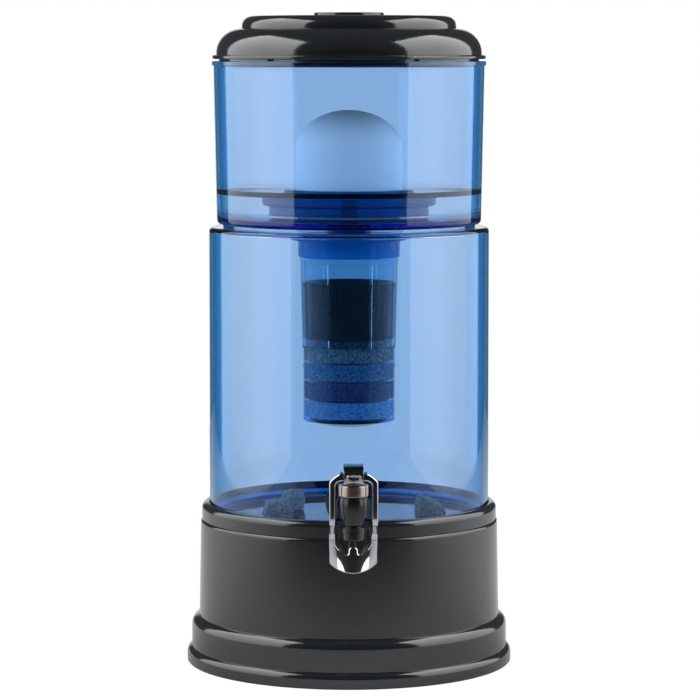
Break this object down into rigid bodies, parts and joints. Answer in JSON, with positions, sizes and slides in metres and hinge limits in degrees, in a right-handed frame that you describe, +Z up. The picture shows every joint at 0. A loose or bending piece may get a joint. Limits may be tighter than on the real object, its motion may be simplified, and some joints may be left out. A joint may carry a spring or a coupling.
{
  "type": "gravity water filter",
  "caption": "Two stacked clear tanks on a hollow stand, with a ceramic dome, a hanging layered cartridge, a domed lid and a push-lever tap.",
  "frame": {"origin": "on the tanks' axis at the floor, in the plane of the stand's foot ring", "axes": "+Z up, the tap faces -Y, +X to the right of someone facing the tap"},
  "size_m": [0.27, 0.299, 0.5372],
  "materials": {
    "stand_plastic": "satin anthracite ABS",
    "tank_blue": "clear blue SAN, polished",
    "stone": "rough grey mineral",
    "tap_plastic": "satin black moulded plastic",
    "gasket": "silicone",
    "bronze_trim": "polished bronze-coloured trim",
    "steel": "stainless",
    "chrome": "polished chrome plate",
    "ceramic": "fine porous ceramic",
    "filter_blue": "translucent blue plastic",
    "jar_clear": "clear plastic",
    "carbon": "granular carbon",
    "felt": "white felt",
    "granules_grey": "grey granules",
    "beads_dark_blue": "dark blue beads",
    "beads_purple": "purple beads",
    "beads_light_blue": "light blue beads"
  },
  "bodies": {
    "stand": {"base_stand": "stand_plastic", "stand_top": "stand_plastic"},
    "lower_tank_assembly": {"lower_tank": "tank_blue", "mineral_stones": "stone", "tap_body": "tap_plastic", "tap_outer_gasket": "gasket", "tap_inner_gasket": "gasket", "tap_lock_nut": "tap_plastic", "bonnet_ring": "bronze_trim", "bonnet_cap": "tap_plastic"},
    "valve": {"valve_stem": "steel", "valve_cup": "gasket", "valve_spring": "steel", "lever_pin": "steel"},
    "lever": {"push_lever": "chrome"},
    "toggle": {"lock_block": "chrome", "lock_tab": "tap_plastic"},
    "upper_tank_assembly": {"upper_tank": "tank_blue", "nut_washer": "gasket", "dome_nut": "filter_blue"},
    "dome_filter": {"ceramic_dome": "ceramic", "dome_base": "filter_blue", "floor_gasket": "gasket"},
    "cartridge": {"cartridge_cap": "filter_blue", "cap_seal": "gasket", "carbon_jar": "jar_clear", "carbon_bed": "carbon", "mineral_cup": "jar_clear", "felt_separators": "felt", "grey_granules": "granules_grey", "dark_blue_beads": "beads_dark_blue", "purple_beads": "beads_purple", "light_blue_beads": "beads_light_blue"},
    "lid_body": {"lid": "stand_plastic"}
  },
  "joints": [
    {"name": "lower_tank_lift", "type": "slide", "parent": "stand", "child": "lower_tank_assembly", "axis": [0, 0, 1], "range_m": [0, 0.05]},
    {"name": "upper_tank_lift", "type": "slide", "parent": "lower_tank_assembly", "child": "upper_tank_assembly", "axis": [0, 0, 1], "range_m": [0, 0.18]},
    {"name": "lid_lift", "type": "slide", "parent": "upper_tank_assembly", "child": "lid_body", "axis": [0, 0, 1], "range_m": [0, 0.05]},
    {"name": "dome_lift", "type": "slide", "parent": "upper_tank_assembly", "child": "dome_filter", "axis": [0, 0, 1], "range_m": [0, 0.03]},
    {"name": "cartridge_drop", "type": "slide", "parent": "upper_tank_assembly", "child": "cartridge", "axis": [0, 0, -1], "range_m": [0, 0.03]},
    {"name": "stem_lift", "type": "slide", "parent": "lower_tank_assembly", "child": "valve", "axis": [0, 0, 1], "range_m": [0, 0.003], "stiffness_N_per_m": 200, "springref_m": -0.003, "deforming": ["valve_spring"]},
    {"name": "lever_push", "type": "hinge", "parent": "valve", "child": "lever", "pos_m": [0, -0.152, 0.1742], "axis": [1, 0, 0], "range_deg": [0, 9.5]},
    {"name": "flow_lock", "type": "hinge", "parent": "valve", "child": "toggle", "pos_m": [0, -0.152, 0.1742], "axis": [1, 0, 0], "range_deg": [-35, 0]}
  ],
  "couplings": [
    {"joint": "stem_lift", "follows": "lever_push", "m_per_rad": 0.018}
  ]
}
